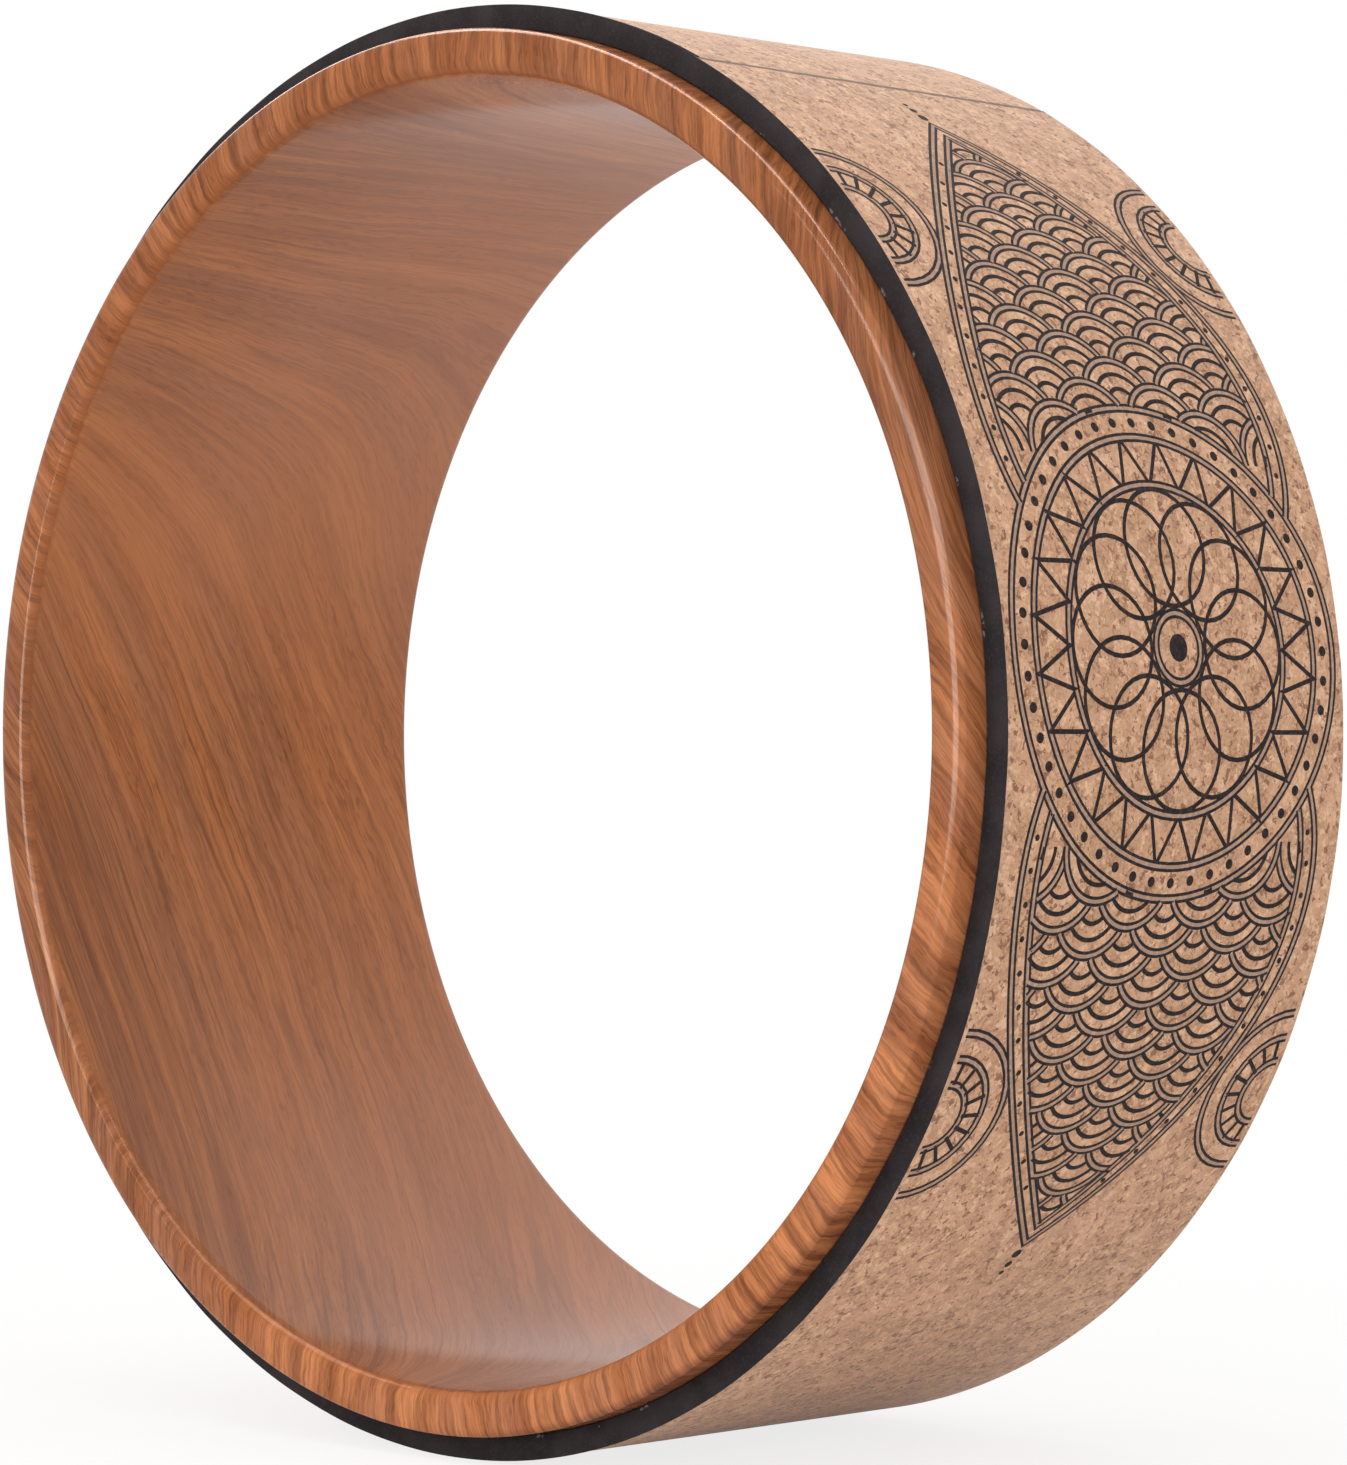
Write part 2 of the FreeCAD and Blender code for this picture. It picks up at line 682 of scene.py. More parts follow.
    def over_rim(self, graph: NodeGraph, place: Place, rise: Wire) -> tuple[Wire, Wire]:
        """The print over a rim, grain across it and darker round its heart, made darker towards the top,
        with painted shade on the outer edge where it faces down.

        Args:
            graph: takes the nodes.
            place: the shaded point.
            rise: its height above the hoop's inside.

        Returns:
            The colour and the pores.
        """
        depth = rise + (self.half_width - abs(place.y))
        colour, pores = self.grain(place, self.rim_lines(place, depth), self.rim_print)
        edge = rise.ramp(*self.rim_edge_rise) * self.rim_edge_share
        colour = graph.mix(colour, self.rim_print.middle, edge)
        top = place.z.ramp(-self.inner_radius, self.inner_radius)
        colour = graph.mix(colour, self.rim_top_shade, top, "MULTIPLY")
        heart = place.facing(self.rim_heart_deg, *self.rim_heart_reach_deg)
        far_heart = place.facing(self.rim_heart_deg - 180, *self.far_rim_heart_reach_deg)
        far_heart = far_heart * self.far_rim_heart_share
        colour = graph.mix(colour, self.rim_heart_shade, heart.larger(far_heart), "MULTIPLY")
        # Painted shade on the outer edge where it faces down
        under = place.facing(self.rim_under_deg, *self.rim_under_reach_deg)
        under = under * rise.ramp(*self.rim_under_rise)
        return graph.mix(colour, self.rim_under_painted_shade, under, "MULTIPLY"), pores

    def shade(self, graph: NodeGraph, place: Place) -> dict[str, object]:
        """Adds the two prints, the line where they meet and the lacquer.

        Args:
            graph: takes the nodes.
            place: the shaded point.

        Returns:
            The shader's sockets.
        """
        rise = place.radius() - self.inner_radius
        inside, inside_pores = self.inside(graph, place)
        over_rim, rim_pores = self.over_rim(graph, place, rise)
        meeting = rise + place.stray(self.rim_print_wave, self.rim_print_wander, 2.0)
        before, after = (self.rim_print_start + side * self.rim_print_ease for side in (-1, 1))
        on_rim = meeting.ramp(before, after)
        seam = meeting.window(before, self.rim_print_start, self.rim_print_line_ease) * self.rim_print_line
        worn = rise.window(*self.edge_wear_span, self.edge_wear_ease) * place.z.ramp(*self.edge_wear_height)
        colour = graph.mix(graph.mix(inside, over_rim, on_rim), self.inner_print.line, seam)
        pores = inside_pores + (rim_pores - inside_pores) * on_rim
        return {
            "Base Color": colour,
            "Roughness": 0.38 + place.noise(12) * 0.1,
            "Normal": graph.bump(place.noise(5, 1.0) - pores * 0.3, 0.004),
            "Specular IOR Level": 0.0,
            "Coat Weight": self.lacquer - worn * self.edge_wear,
            "Coat Roughness": 0.14,
            "Coat IOR": 1.2,
        }


@dataclass(frozen=True)
class CutFoam(Finish):
    """Matte black closed-cell foam with fine open cells, lint and a few traces of dried glue.

    Lengths are in millimetres.
    """

    inner_radius: float
    name: str = "black_foam"
    dark: Colour = srgb(45, 41, 43)
    worn: Colour = srgb(62, 57, 59)
    lint: Colour = srgb(150, 150, 148)
    cell: float = 0.45
    cell_bounds: Bounds = (0.7, 1.0)
    cell_share: float = 0.5
    patch: float = 9.0
    patch_bounds: Bounds = (0.35, 0.7)
    patch_share: float = 0.6
    lint_spacing: float = 11.0
    lint_bounds: Bounds = (0.035, 0.02)
    smear_size: float = 7.0
    smear_bounds: Bounds = (0.66, 0.71)
    smear_grain: float = 1.1
    smear_grain_bounds: Bounds = (0.46, 0.6)
    glue_rise: Bounds = (0.9, 0.5)
    glue_share: float = 0.55

    def shade(self, graph: NodeGraph, place: Place) -> dict[str, object]:
        """Adds the cells, the uneven black, the lint and the glue at the hoop.

        Args:
            graph: takes the nodes.
            place: the shaded point.

        Returns:
            The shader's sockets.
        """
        hollow, tone = graph.cells(place.point, self.cell)
        patch = place.noise(self.patch, 3.0).ramp(*self.patch_bounds)
        colour = graph.mix(self.dark, self.worn, patch * self.patch_share)
        colour = graph.mix(colour, self.worn, tone.ramp(*self.cell_bounds) * self.cell_share)
        speck, _ = graph.cells(place.point, self.lint_spacing)
        smear = place.noise(self.smear_size, 1.0).ramp(*self.smear_bounds)
        smear = smear * place.noise(self.smear_grain).ramp(*self.smear_grain_bounds)
        glue = (place.radius() - self.inner_radius).ramp(*self.glue_rise) * smear
        lint = speck.ramp(*self.lint_bounds).larger(glue * self.glue_share)
        colour = graph.mix(colour, self.lint, lint)
        return {
            "Base Color": colour,
            "Roughness": 0.86 + tone * 0.1,
            "Specular IOR Level": 0.02,
            "Normal": graph.bump(hollow, 0.1, 0.6),
        }


@dataclass(frozen=True)
class CorkSheet(Finish):
    """Fine agglomerated cork: pressed granules, pale chips and dark flecks of bark.

    Lengths are in millimetres.
    """

    tread_radius: float
    seam_deg: float
    seam_lean: float
    name: str = "agglomerated_cork"
    granule: float = 2.6
    grit: float = 0.8
    fleck: float = 2.0
    patch: float = 8.0
    swirls_per_mm: float = 0.6
    swirl_reach: float = 2.6
    granule_share: float = 0.4
    grit_share: float = 0.8
    tone_shift: float = 0.1
    olive_bounds: Bounds = (0.48, 0.68)
    olive_share: float = 0.4
    chip_bounds: Bounds = (0.6, 0.7)
    chip_share: float = 0.6
    wrinkle_bounds: Bounds = (0.06, 0.015)
    wrinkle_patch: Bounds = (0.42, 0.6)
    wrinkle_share: float = 0.5
    fleck_bounds: Bounds = (0.595, 0.625)
    fleck_share: float = 0.82
    seam_bounds: Bounds = (1.4, 0.6)
    seam_fray: tuple[float, float] = (5.0, 1.2)
    seam_break: float = 11.0
    seam_break_bounds: Bounds = (0.2, 0.42)
    tones: tuple[tuple[float, Colour], ...] = (
        (0.2, srgb(164, 118, 87)),
        (0.4, srgb(190, 145, 111)),
        (0.6, srgb(202, 156, 122)),
        (0.8, srgb(222, 180, 148)),
    )
    olive: Colour = srgb(187, 143, 103)
    chip: Colour = srgb(230, 188, 153)
    bark: Colour = srgb(120, 71, 44)
    # Dark line along the seam: grime, and painted shade of the gap between the sheet's ends
    seam_grime_and_shade: Colour = srgb(84, 52, 36)

    def near_seam(self, place: Place) -> Wire:
        """How far a point lies in the broken dark line along the seam.

        Args:
            place: the point.

        Returns:
            The share, from 0 to 1.
        """
        aside = place.turn(self.seam_deg) * self.tread_radius + place.y * self.seam_lean
        fray = place.stray(*self.seam_fray, 3.0, 0.6)
        broken = place.noise(self.seam_break).ramp(*self.seam_break_bounds)
        return abs(aside + fray).ramp(*self.seam_bounds) * broken

    def shade(self, graph: NodeGraph, place: Place) -> dict[str, object]:
        """Adds granules, wrinkles, flecks, the seam's dark line of grime and painted shade, and their
        shallow relief.

        Args:
            graph: takes the nodes.
            place: the shaded point.

        Returns:
            The shader's sockets.
        """
        sockets = {"Vector": place.point, "Scale": self.swirls_per_mm, "Detail": 2.0}
        swirl = graph.wire("ShaderNodeTexNoise", "Color", None, sockets)
        bent = graph.vector("ADD", place.point, graph.vector("SCALE", swirl, self.swirl_reach))
        _, granule = graph.cells(bent, self.granule)
        grit = place.noise(self.grit, 2.0, 0.6)
        patch = place.noise(self.patch)
        share = granule * self.granule_share + grit * self.grit_share - self.tone_shift
        tone = graph.wire("ShaderNodeValToRGB", "Color", {"stops": self.tones}, {"Fac": share})
        colour = graph.mix(tone, self.olive, patch.ramp(*self.olive_bounds) * self.olive_share)
        chips = place.noise(self.fleck, 1.0).ramp(*self.chip_bounds)
        colour = graph.mix(colour, self.chip, chips * self.chip_share)
        wrinkle = abs(graph.noise(bent, self.granule * 0.8, 1.0) - 0.5).ramp(*self.wrinkle_bounds)
        fleck = graph.noise(bent, self.fleck, 2.0, 0.6).ramp(*self.fleck_bounds)
        wrinkle = wrinkle * patch.ramp(*self.wrinkle_patch) * self.wrinkle_share
        hollow = wrinkle.larger(fleck * self.fleck_share)
        colour = graph.mix(colour, self.bark, hollow)
        # Dark line along the seam: grime and painted shade of the gap
        colour = graph.mix(colour, self.seam_grime_and_shade, self.near_seam(place))
        return {
            "Base Color": colour,
            "Roughness": 0.52 + granule * 0.12,
            "Specular IOR Level": 0.3,
            "Sheen Weight": 0.13,
            "Sheen Roughness": 0.5,
            "Normal": graph.bump(granule * 0.4 + grit * 0.7 - hollow * 0.35, 0.05),
        }


@dataclass(frozen=True)
class PrintInk(Finish):
    """Ink printed on cork, a little broken up by the granules under it."""

    name: str
    dense: Colour
    thin: Colour
    grain: float = 1.1
    thin_bounds: Bounds = (0.42, 0.72)

    def shade(self, graph: NodeGraph, place: Place) -> dict[str, object]:
        """Adds the ink's uneven cover.

        Args:
            graph: takes the nodes.
            place: the shaded point.

        Returns:
            The shader's sockets.
        """
        cover = place.noise(self.grain, 3.0, 0.6)
        return {
            "Base Color": graph.mix(self.dense, self.thin, cover.ramp(*self.thin_bounds)),
            "Roughness": 0.6 + cover * 0.2,
            "Specular IOR Level": 0.15,
            "Normal": graph.bump(cover, 0.04),
        }


@dataclass(frozen=True)
class GlueFilm(Finish):
    """Cloudy adhesive between two layers of the wrap, dark as painted shade where its edges show between the
    layers.
    """

    name: str = "glue_film"
    # Painted shade: dark tones, so that the film's edges read as shaded gaps between the layers
    clear: Colour = srgb(66, 52, 40)
    cloudy: Colour = srgb(98, 80, 62)
    cloud_size: float = 3.0
    cloud_bounds: Bounds = (0.35, 0.65)

    def shade(self, graph: NodeGraph, place: Place) -> dict[str, object]:
        """Adds the cloudy tone.

        Args:
            graph: takes the nodes.
            place: the shaded point.

        Returns:
            The shader's sockets.
        """
        cloud = place.noise(self.cloud_size, 3.0)
        return {
            "Base Color": graph.mix(self.clear, self.cloudy, cloud.ramp(*self.cloud_bounds)),
            "Roughness": 0.45 + cloud * 0.2,
            "Specular IOR Level": 0.05,
            "Normal": graph.bump(cloud, 0.05),
        }


def node_radius(node: str) -> float:
    """Outer radius of a round CAD node, in metres."""
    low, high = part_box(node)
    return max(high.x, high.z, -low.x, -low.z)


def node_half_width(node: str) -> float:
    """Half of a CAD node's width along the wheel's axis, in metres."""
    low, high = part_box(node)
    return (high.y - low.y) / 2


def rounded_outline(
    inner: float, outer: float, half_width: float, inner_edge: EdgeRound, outer_edge: EdgeRound, steps: int
) -> np.ndarray:
    """Outline of a round wall cut through its axis: a rectangle with rounded corners.

    Args:
        inner: radius of the wall's inside.
        outer: radius of its outside.
        half_width: half of its width along the axis.
        inner_edge: how far the two inner corners are rounded, along the radius and along the axis.
        outer_edge: how far the two outer corners are rounded, likewise.
        steps: steps in the arc of a corner.

    Returns:
        The closed outline's points, as radius and place along the axis, whose last step crosses the outside.
    """
    corners = (
        (outer - outer_edge[0], half_width - outer_edge[1], outer_edge),
        (inner + inner_edge[0], half_width - inner_edge[1], inner_edge),
        (inner + inner_edge[0], inner_edge[1] - half_width, inner_edge),
        (outer - outer_edge[0], outer_edge[1] - half_width, outer_edge),
    )
    outline = []
    for quarter, (radius, across, edge) in enumerate(corners):
        for step in range(steps + 1):
            angle = FULL_TURN / 4 * (quarter + step / steps)
            outline.append((radius + edge[0] * math.cos(angle), across + edge[1] * math.sin(angle)))
    return np.array(outline)


def divide_long(outline: np.ndarray, longest: float) -> np.ndarray:
    """Divides the long steps of a closed outline.

    Args:
        outline: its points.
        longest: the longest step that stays whole.

    Returns:
        The points with the new ones between them.
    """
    points = []
    for start, end in zip(outline, np.roll(outline, -1, axis=0)):
        pieces = max(1, math.ceil(np.linalg.norm(end - start) / longest))
        points.extend(start + (end - start) * (piece / pieces) for piece in range(pieces))
    return np.array(points)


def round_points(radius: np.ndarray, across: np.ndarray, angle: np.ndarray) -> np.ndarray:
    """Points on the wheel from their radius, place along the axis and angle in radians."""
    radius, across, angle = np.broadcast_arrays(radius, across, angle)
    return np.stack((radius * np.cos(angle), across, radius * np.sin(angle)), axis=-1)


def tube_faces(rings: int, sides: int, closed: bool, first: int = 0) -> list[tuple[int, ...]]:
    """Faces of a tube whose rings of points follow each other.

    Args:
        rings: how many rings it has.
        sides: how many points each ring has.
        closed: whether the last ring joins the first, or both ends are capped.
        first: number of the first point.

    Returns:
        The faces as numbers of points.
    """
    faces = []
    for ring in range(rings if closed else rings - 1):
        here = first + ring * sides
        there = first + (ring + 1) % rings * sides
        for side in range(sides):
            other = (side + 1) % sides
            faces.append((here + side, here + other, there + other, there + side))
    if not closed:
        last = first + (rings - 1) * sides
        faces.append(tuple(range(first + sides - 1, first - 1, -1)))
        faces.append(tuple(range(last, last + sides)))
    return faces


def make_piece(
    name: str, points: np.ndarray, faces: Sequence[Sequence[int]], finishes: Sequence[Finish],
    finish_of_face: Sequence[int] | None = None,
) -> bpy.types.Object:
    """Makes a smooth mesh piece with faces that point outwards.

    Args:
        name: the piece's name.
        points: its points in metres.
        faces: its faces as numbers of points.
        finishes: its finishes.
        finish_of_face: the number of each face's finish, where there are several.

    Returns:
        The piece, in the scene.
    """
    mesh = bpy.data.meshes.new(name)
    mesh.from_pydata(points.reshape(-1, 3).tolist(), [], faces)
    for finish in finishes:
        mesh.materials.append(finish.material())
    if finish_of_face is not None:
        mesh.polygons.foreach_set("material_index", finish_of_face)
    shell = bmesh.new()
    shell.from_mesh(mesh)
    bmesh.ops.recalc_face_normals(shell, faces=shell.faces)
    for face in shell.faces:
        face.smooth = True
    for edge in shell.edges:
        edge.smooth = edge.calc_face_angle(0.0) < SHARP_FROM
    shell.to_mesh(mesh)
    shell.free()
    piece = bpy.data.objects.new(name, mesh)
    bpy.context.scene.collection.objects.link(piece)
    return piece


def ripple(angle: np.ndarray, height: float, waves: Sequence[int], phase: float) -> np.ndarray:
    """Small uneven wave that closes round the wheel.

    Args:
        angle: angles in radians.
        height: about the most that it departs from zero.
        waves: how many waves of each kind go round.
        phase: sets this wave apart from others, in radians.

    Returns:
        The wave at each angle.
    """
    total = sum(np.sin(count * angle + phase * (index + 1)) for index, count in enumerate(waves))
    return height * total / math.sqrt(len(waves))


@dataclass
class Hoop:
    """The load-bearing tube: plain inside and out, with rounded rims. Lengths are in metres."""

    inner_radius: float
    outer_radius: float
    half_width: float
    inner_edge: EdgeRound = (3.5 * MM, 3.5 * MM)
    outer_edge: EdgeRound = (3.0 * MM, 1.2 * MM)
    steps_round: int = 512
    steps_in_edge: int = 14
    longest_step: float = 9 * MM

    def build(self) -> bpy.types.Object:
        """Turns the wall's outline round the axis and dresses it.

        Returns:
            The hoop.
        """
        outline = rounded_outline(
            self.inner_radius, self.outer_radius, self.half_width,
            self.inner_edge, self.outer_edge, self.steps_in_edge,
        )
        section = divide_long(outline, self.longest_step)
        angles = np.linspace(0, FULL_TURN, self.steps_round, endpoint=False)
        points = round_points(section[:, 0], section[:, 1], angles[:, None])
        faces = tube_faces(self.steps_round, len(section), closed=True)
        finish = WoodPrint(self.inner_radius / MM, self.half_width / MM)
        piece = make_piece("lacquered_hoop", points, faces, [finish])
        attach(piece, ROOT_BODY)
        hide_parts("hoop")
        return piece


@dataclass
class Seam:
    """The slanting butt joint where the two ends of the strips meet. Lengths are in metres."""

    angle_deg: float = 62.25
    skew: float = 3.4 * MM
    gap: float = 0.1 * MM
    unevenness: float = 0.04 * MM
    start_waves: tuple[int, ...] = (7, 17, 31)
    start_phase: float = 0.7
    end_waves: tuple[int, ...] = (5, 13, 29)
    end_phase: float = 2.1

    def edges(self, across: np.ndarray, half_width: float, radius: float) -> tuple[np.ndarray, np.ndarray]:
        """Angles of the two ends of a strip.

        Args:
            across: places along the axis.
            half_width: half of the strip's width.
            radius: radius at which the gap is measured.

        Returns:
            The angles where the strip starts and where it ends, less than a turn later.
        """
        middle = math.radians(self.angle_deg) - across / (2 * half_width) * self.skew / radius
        fray = across / half_width * math.pi
        start_fray = ripple(fray, self.unevenness, self.start_waves, self.start_phase)
        end_fray = ripple(fray, self.unevenness, self.end_waves, self.end_phase)
        start = middle + (self.gap / 2 + start_fray) / radius
        end = middle - (self.gap / 2 + end_fray) / radius
        return start, end + FULL_TURN


@dataclass
class WrapStrip:
    """A strip wound once round the hoop. Lengths are in metres."""

    inner_radius: float
    outer_radius: float
    half_width: float
    inner_edge: EdgeRound
    outer_edge: EdgeRound
    seam: Seam = field(default_factory=Seam)
    edge_wander: float = 0.12 * MM
    edge_waves: tuple[int, ...] = (3, 7, 16, 37)
    edge_phase: float = 1.3
    front_swell: float = FRONT_SWELL
    front_rise: float = 0.0
    front_reach: float = 0.5 * MM
    end_dip: float = 0.0
    end_reach: float = 0.9 * MM
    end_rise: float = 0.0
    end_rise_reach: float = 2.5 * MM
    cork_setback: float = 1.7 * MM
    setback_fade: float = 0.5
    steps_round: int = 720
    steps_in_edge: int = 4
    longest_step: float = 3 * MM
    end_steps: tuple[float, ...] = (0.0, 0.2 * MM, 0.5 * MM, 0.9 * MM, 1.5 * MM, 2.4 * MM, 3.6 * MM)
    end_rings: int = 4

    def outline(self) -> np.ndarray:
        """The strip's outline, cut through the wheel's axis, before its long steps are divided.

        Returns:
            Its points, as radius and place along the axis.
        """
        return rounded_outline(
            self.inner_radius, self.outer_radius, self.half_width,
            self.inner_edge, self.outer_edge, self.steps_in_edge,
        )

    def follows_setback(self, radius: np.ndarray, across: np.ndarray) -> np.ndarray:
        """How far each point of the outline follows the set-back of the cork's front edge, from 0 to 1."""
        raise NotImplementedError

    def shares(self) -> np.ndarray:
        """Places of the strip's rings along it.

        Returns:
            The places from 0 to 1, closer together at both ends.
        """
        close = np.array(self.end_steps) / (FULL_TURN * self.outer_radius)
        middle = np.linspace(0, 1, self.steps_round)[self.end_rings:-self.end_rings]
        return np.concatenate((close, middle, 1 - close[::-1]))

    def points(self) -> tuple[np.ndarray, int, int]:
        """Points of the strip.

        Returns:
            The points, how many rings they make and how many points each ring has.
        """
        section = divide_long(self.outline(), self.longest_step)
        shares = self.shares()[:, None]
        radius, across = section[:, 0], section[:, 1]
        start, end = self.seam.edges(across, self.half_width, self.outer_radius)
        angle = start + shares * (end - start)
        wander = ripple(angle, self.edge_wander, self.edge_waves, self.edge_phase) * across / self.half_width
        setback = self.cork_setback * np.exp(-shares * FULL_TURN / self.setback_fade)
        wander = wander + setback * self.follows_setback(radius, across)
        wander = wander + self.front_swell * np.minimum(across, 0) / self.half_width
        length = FULL_TURN * self.outer_radius
        outer_share = (radius - self.inner_radius) / (self.outer_radius - self.inner_radius)
        dip = self.end_dip * np.exp(-np.minimum(shares, 1 - shares) * length / self.end_reach) * outer_share
        lift = self.front_rise * np.exp(-(across + self.half_width) / self.front_reach)
        lift = lift + self.end_rise * np.exp((shares - 1) * length / self.end_rise_reach)
        return round_points(radius + lift - dip, across + wander, angle), len(shares), len(section)

    def build_strip(self, name: str, finishes: Sequence[Finish]) -> bpy.types.Object:
        """Makes the strip's mesh piece, riding on the wheel.

        Args:
            name: the piece's name.
            finishes: its finishes.

        Returns:
            The piece.
        """
        points, rings, sides = self.points()
        piece = make_piece(name, points, tube_faces(rings, sides, closed=False), finishes)
        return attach(piece, ROOT_BODY)


@dataclass
class FoamPad(WrapStrip):
    """The black foam under the cork, cut with slightly uneven sides and a front lip beside the cork."""

    inner_edge: EdgeRound = (0.12 * MM, 0.12 * MM)
    outer_edge: EdgeRound = (0.08 * MM, 0.08 * MM)
    seam: Seam = field(default_factory=lambda: Seam(gap=0.02 * MM, unevenness=0.0))
    lip_rise: float = 1.0 * MM
    lip_slope: float = 0.02 * MM

    def outline(self) -> np.ndarray:
        """The outline with its front outer corner raised into a lip.

        Returns:
            Its points, as radius and place along the axis.
        """
        body = super().outline()
        body[-self.steps_in_edge - 1:, 0] += self.lip_rise
        wall = FOAM_LIP - self.half_width
        lip = [(self.outer_radius + self.lip_rise, wall), (self.outer_radius, wall + self.lip_slope)]
        return np.concatenate((body, lip))

    def follows_setback(self, radius: np.ndarray, across: np.ndarray) -> np.ndarray:
        """Only the wall of the lip follows the cork.

        Args:
            radius: radius of each point of the outline.
            across: its place along the axis.

        Returns:
            One for each point on the wall, zero for the others.
        """
        from_wall = np.abs(across + self.half_width - FOAM_LIP)
        on_wall = (from_wall < 2 * self.lip_slope) & (radius > self.outer_radius - self.lip_slope)
        return on_wall.astype(float)

    def build(self) -> bpy.types.Object:
        """Returns:
            The pad.
        """
        piece = self.build_strip("black_foam_pad", [CutFoam(self.inner_radius / MM)])
        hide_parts("foam_pad")
        return piece


@dataclass
class CorkCover(WrapStrip):
    """The thin cork sheet round the foam."""

    inner_edge: EdgeRound = (0.05 * MM, 0.05 * MM)
    outer_edge: EdgeRound = (0.1 * MM, 0.1 * MM)
    front_swell: float = FRONT_SWELL - FOAM_LIP
    front_rise: float = 0.36 * MM
    front_steps: tuple[float, ...] = (0.4 * MM, 0.8 * MM, 1.4 * MM)
    end_dip: float = 0.06 * MM
    end_rise: float = 0.2 * MM

    def outline(self) -> np.ndarray:
        """The outline with more points beside its front edge, which follows the foam's lip."""
        beside = [(self.outer_radius, step - self.half_width) for step in self.front_steps]
        return np.concatenate((super().outline(), beside))

    def follows_setback(self, radius: np.ndarray, across: np.ndarray) -> np.ndarray:
        """The front half follows, more towards its edge."""
        return np.clip(-across / self.half_width, 0, 1)

    def build(self) -> bpy.types.Object:
        """Builds the sheet and dresses it as cork.

        Returns:
            The sheet.
        """
        seam_lean = self.seam.skew / (2 * self.half_width)
        finish = CorkSheet(self.outer_radius / MM, self.seam.angle_deg, seam_lean)
        piece = self.build_strip("cork_sheet", [finish])
        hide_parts("cork_cover")
        return piece


class StrokeKind(Enum):
    """How a line of the ornament is printed."""

    OUTLINED = "pale core between two dark edges"
    SOLID = "one dark line"


@dataclass(frozen=True)
class Stroke:
    """One line of the ornament, on the unrolled tread.

    Its points are in millimetres, round the tread and across it.
    """

    points: np.ndarray
    closed: bool = False
    kind: StrokeKind = StrokeKind.OUTLINED

    def mitred_normals(self) -> np.ndarray:
        """Directions to the stroke's left, longer at corners so that its width stays the same there.

        Returns:
            One direction for each point.
        """
        steps = np.roll(self.points, -1, axis=0) - self.points
        if not self.closed:
            steps[-1] = steps[-2]
        steps /= np.linalg.norm(steps, axis=1, keepdims=True)
        after = np.stack((-steps[:, 1], steps[:, 0]), axis=-1)
        before = np.roll(after, 1, axis=0)
        if not self.closed:
            before[0] = after[0]
        likeness = np.sum(before * after, axis=1, keepdims=True)
        return (before + after) / np.maximum(1 + likeness, SHARPEST_MITRE)


def arc_points(
    centre: Sequence[float], radius: float, start: float, end: float, longest: float
) -> np.ndarray:
    """Points of an arc.

    Args:
        centre: its centre.
        radius: its radius.
        start: angle of its first point, in radians.
        end: angle of its last point.
        longest: longest step between two points.

    Returns:
        The points.
    """
    turn = abs(end - start)
    steps = max(FEWEST_ARC_STEPS, math.ceil(turn * radius / longest), math.ceil(turn / WIDEST_ARC_STEP))
    angles = np.linspace(start, end, steps + 1)
    return np.array(centre) + radius * np.stack((np.cos(angles), np.sin(angles)), axis=-1)


def kept_runs(points: np.ndarray, kept: np.ndarray) -> list[np.ndarray]:
    """Splits a line into the runs of points that are kept.

    Args:
        points: the line's points.
        kept: whether each point stays.

    Returns:
        The runs that have at least three points.
    """
    breaks = np.flatnonzero(np.diff(kept.astype(int))) + 1
    runs = zip(np.split(points, breaks), np.split(kept, breaks))
    return [run for run, stays in runs if stays[0] and len(run) > 2]


@dataclass
class InkMesh:
    """Points, faces and inks of the ornament, gathered tube by tube."""

    points: list[np.ndarray] = field(default_factory=list)
    faces: list[tuple[int, ...]] = field(default_factory=list)
    inks: list[int] = field(default_factory=list)
    total: int = 0

    def add(self, tube: np.ndarray, closed: bool, ink: int) -> None:
        """Adds a tube.

        Args:
            tube: its points, by ring and by place in the ring.
            closed: whether its last ring joins the first.
            ink: the number of its ink.
        """
        rings, sides = tube.shape[:2]
        added = tube_faces(rings, sides, closed, self.total)
        self.points.append(tube.reshape(-1, 3))
        self.faces.extend(added)
        self.inks.extend([ink] * len(added))
        self.total += rings * sides


